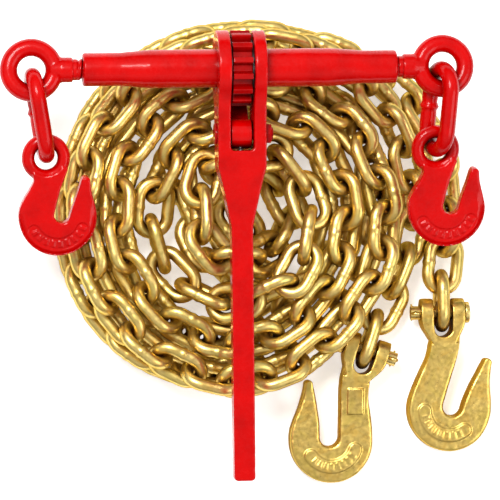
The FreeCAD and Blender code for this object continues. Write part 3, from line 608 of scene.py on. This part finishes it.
def clevis_hook_shift(origin, pitched, across, along, normal, labelled):
    """Gives a clevis hook its grain, a neck that thickens up to the fork, a raised panel with
    bars, and a blank label if it has one."""
    def shift(place, vertex_normal):
        x, y, z = hook_face(place, origin, across, along, normal)
        move = vertex_normal * forged_grain(place, 0.20 * MM, 0.10 * MM)
        facing = vertex_normal.dot(normal)
        below_pin = (place - origin).dot(pitched)
        if below_pin < CLEVIS_NECK_TOP:
            fork_share = ease(below_pin, *CLEVIS_NECK_BLEND)
            thickness = CLEVIS_SHANK_HALF + (CLEVIS_FORK_HALF - CLEVIS_SHANK_HALF) * fork_share
            lift = max(0.0, thickness - abs(z)) * fork_share * ease(abs(facing), 0.1, 0.6)
            move += normal * math.copysign(lift, z)
        if abs(facing) > PANEL_FACING and y < CLEVIS_PANEL_TOP:
            raised = rounded_crescent(x, y, CLEVIS_BOWL, *CLEVIS_PANEL)
            if labelled:
                label = band(x, *LABEL_ACROSS, LABEL_EDGE) * band(y, *LABEL_ALONG, LABEL_EDGE)
                raised = max(raised, label)
            mark = marks(x, y, CLEVIS_BOWL, *CLEVIS_MARKS)
            height = CLEVIS_PANEL_HEIGHT * raised + CLEVIS_MARK_HEIGHT * mark
            move += normal * math.copysign(height, facing)
        return move

    return shift


def build_clevis_hooks():
    for name, flip in (("a", 1), ("b", -1)):
        node = f"clevis_hook_{name}"
        joint = JOINTS[f"clevis_{name}_lift"]
        across = -Vector(joint["axis"])
        level = UP.cross(across)
        pitched = level * math.cos(CLEVIS_PITCH) + UP * math.sin(CLEVIS_PITCH)
        normal = across.cross(pitched)
        turn = Matrix.Rotation(CLEVIS_LEAN * flip, 3, normal)
        shift = clevis_hook_shift(
            Vector(joint["pos_m"]), pitched, turn @ across * flip, turn @ pitched, normal, name == "a"
        )
        new_object("forged_" + node, shaped(remeshed(node, 0.8 * MM, 6), shift), node)


# --- eye bolts ---------------------------------------------------------------------
SCREW_RADIUS = 8.45 * MM
SCREW_DEPTH = 1.3 * MM
SCREW_PITCH = 25.4 * MM / 6
SCREW_LENGTH = 105 * MM
SCREW_OVERLAP = 1.5 * MM
SCREW_SIDES = 36
SCREW_STEPS_PER_TURN = 10
NECK_FADE = 7 * MM
CHAMFER = 3 * MM
# How far across half a turn of thread, from 0 to 0.5, the crest ends and the root begins.
CREST_END = 0.12
ROOT_START = 0.42
BOLT_CUT_GAP = 0.4 * MM


def screw_mesh(start, direction, length, hand):
    """A rod with a helical thread, from start along direction."""
    steps = int(length / SCREW_PITCH * SCREW_STEPS_PER_TURN)
    other = UP.cross(direction)
    rings = []
    for step in range(steps + 1):
        along = length * step / steps
        cut = 1 - ease(along, length - NECK_FADE, length - NECK_FADE / 2)
        full_size = ease(along, 0, CHAMFER)
        ring = []
        for k in range(SCREW_SIDES):
            turn = 2 * math.pi * k / SCREW_SIDES
            phase = (along / SCREW_PITCH + hand * k / SCREW_SIDES) % 1.0
            groove = ease(abs(phase - 0.5), CREST_END, ROOT_START)
            radius = SCREW_RADIUS - SCREW_DEPTH * max(groove * cut, 1 - full_size)
            out = UP * math.cos(turn) + other * math.sin(turn)
            ring.append(start + direction * along + out * radius)
        rings.append(ring)
    vertices, faces = tube_grid(rings, False)
    return mesh_from(vertices, faces)


def cut_off(mesh, place, direction):
    """Remove what lies behind a plane and close the cut."""
    work = bmesh.new()
    work.from_mesh(mesh)
    everything = work.verts[:] + work.edges[:] + work.faces[:]
    bmesh.ops.bisect_plane(
        work, geom=everything, plane_co=place, plane_no=direction, clear_inner=True
    )
    bmesh.ops.holes_fill(work, edges=[edge for edge in work.edges if edge.is_boundary], sides=0)
    work.to_mesh(mesh)
    work.free()


def build_eye_bolts():
    """Each bolt is its forged eye and neck, cut off where its thread begins, and a threaded rod."""
    for side, sign in (("left", -1), ("right", 1)):
        node = f"{side}_eye_bolt"
        low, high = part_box(node)
        out = RIGHT * sign
        inner_end = low.x if sign > 0 else high.x
        start = Vector((inner_end, (low.y + high.y) / 2, (low.z + high.z) / 2))
        eye = remeshed(node, 0.7 * MM, 8)
        cut_off(eye, start + out * SCREW_LENGTH + out * BOLT_CUT_GAP, out)
        shaped(eye, lambda place, normal: normal * forged_grain(place, 0.12 * MM, 0.04 * MM))
        work = bmesh.new()
        work.from_mesh(eye)
        work.from_mesh(screw_mesh(start, out, SCREW_LENGTH + SCREW_OVERLAP, sign))
        new_object("threaded_" + node, plain_mesh(work, "eye_bolt"), node)


# --- barrel, handle, gear and pawl -------------------------------------------------
def build_forgings():
    for node, voxel, smoothing, coarse in (
        ("handle_forging", 0.8 * MM, 10, 0.15 * MM),
        ("barrel_tube", 0.8 * MM, 3, 0.10 * MM),
        ("ratchet_gear", 0.5 * MM, 3, 0.04 * MM),
        ("pawl", 0.5 * MM, 3, 0.06 * MM),
    ):
        mesh = shaped(
            remeshed(node, voxel, smoothing),
            lambda place, normal, coarse=coarse: normal * forged_grain(place, coarse, 0.03 * MM),
        )
        new_object("forged_" + node, mesh, node)


def build_pawl_spring():
    """The detent's spring, in its CAD shape, rides in the lever on a mesh of its own."""
    node = "pawl_spring"
    mesh = plain_mesh(merged_copy(node), "spring")
    piece = new_object("coiled_" + node, mesh, node)
    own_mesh(piece)


def finish_small_parts():
    """The turned and pressed parts keep their CAD shape, with their edges eased."""
    for node in (
        "left_thrust_washer", "right_thrust_washer", "pawl_pin", "pawl_pin_nut", "pawl_plunger",
        "clevis_pin_a", "clevis_pin_b", "cotter_pin_a", "cotter_pin_b",
    ):
        piece = NODES[node]
        paint(piece, node)
        bevel = piece.modifiers.new("bevel", "BEVEL")
        bevel.width = 0.3 * MM
        bevel.segments = 2
        bevel.limit_method = "ANGLE"
        bevel.angle_limit = math.radians(40)


build_chain()
build_connecting_links()
build_grab_hooks()
build_clevis_hooks()
build_eye_bolts()
build_forgings()
build_pawl_spring()
finish_small_parts()


# --- floor, light and camera -------------------------------------------------------
FLOOR_HALF = 3.0
# Each light's name, place, side and power in watts.
LIGHTS = (
    ("key", (-0.55, 0.7, 1.75), 0.7, 36),
    ("fill", (1.2, -0.5, 1.3), 1.0, 9),
)
# The world's brightness by height: (place on the ramp, grey).
SKY_STOPS = ((0.15, 0.04), (0.68, 1.0), (0.98, 0.55))
SKY_STRENGTH = 0.82


def add_floor():
    corners = [(-1, -1), (1, -1), (1, 1), (-1, 1)]
    mesh = mesh_from([(x * FLOOR_HALF, y * FLOOR_HALF, 0) for x, y in corners], [(0, 1, 2, 3)])
    floor = bpy.data.objects.new("floor", mesh)
    bpy.context.scene.collection.objects.link(floor)
    m = Nodes("floor")
    m.set(Base_Color=(0.93, 0.93, 0.93, 1), Roughness=0.7)
    m.set(Emission_Color=(1, 1, 1, 1), Emission_Strength=0.5)
    floor.data.materials.append(m.material)


def add_light(name, place, side, power):
    """A square area light that points at the origin."""
    light = bpy.data.lights.new(name, "AREA")
    light.shape = "RECTANGLE"
    light.size = side
    light.size_y = side
    light.energy = power
    lamp = bpy.data.objects.new(name, light)
    lamp.location = place
    lamp.rotation_euler = (-Vector(place)).to_track_quat("-Z", "Y").to_euler()
    bpy.context.scene.collection.objects.link(lamp)


def add_world():
    world = bpy.data.worlds.new("studio")
    bpy.context.scene.world = world
    world.use_nodes = True
    tree = world.node_tree
    direction = tree.nodes.new("ShaderNodeTexCoord").outputs["Generated"]
    height = tree.nodes.new("ShaderNodeSeparateXYZ")
    tree.links.new(direction, height.inputs["Vector"])
    sky = tree.nodes.new("ShaderNodeValToRGB")
    tree.links.new(height.outputs["Z"], sky.inputs["Fac"])
    fill_ramp(sky.color_ramp, [(place, (grey, grey, grey)) for place, grey in SKY_STOPS])
    background = tree.nodes["Background"]
    tree.links.new(sky.outputs["Color"], background.inputs["Color"])
    background.inputs["Strength"].default_value = SKY_STRENGTH


CAMERA_TILT = math.radians(6.5)
CAMERA_FROM_FRONT = math.radians(2)
CAMERA_DISTANCE = 4.0
CAMERA_LENS = 358
CAMERA_SENSOR = 36
CAMERA_ROLL = math.radians(1.05)
CAMERA_AIM = Vector((0.0036, 0.0009, 0.03))


def add_camera():
    data = bpy.data.cameras.new("camera")
    data.lens = CAMERA_LENS
    data.sensor_width = CAMERA_SENSOR
    camera = bpy.data.objects.new("camera", data)
    towards = Vector((
        -math.sin(CAMERA_TILT), -math.sin(CAMERA_FROM_FRONT),
        math.sqrt(1 - math.sin(CAMERA_TILT) ** 2 - math.sin(CAMERA_FROM_FRONT) ** 2),
    ))
    side = Vector((0, 1, 0)).cross(towards).normalized()
    up = towards.cross(side)
    side, up = (
        side * math.cos(CAMERA_ROLL) - up * math.sin(CAMERA_ROLL),
        up * math.cos(CAMERA_ROLL) + side * math.sin(CAMERA_ROLL),
    )
    camera.matrix_world = Matrix.Translation(CAMERA_AIM + towards * CAMERA_DISTANCE) @ Matrix(
        (side, up, towards)
    ).transposed().to_4x4()
    bpy.context.scene.collection.objects.link(camera)
    bpy.context.scene.camera = camera


bpy.context.scene.view_settings.view_transform = "Standard"
add_floor()
add_world()
for light_row in LIGHTS:
    add_light(*light_row)
add_camera()
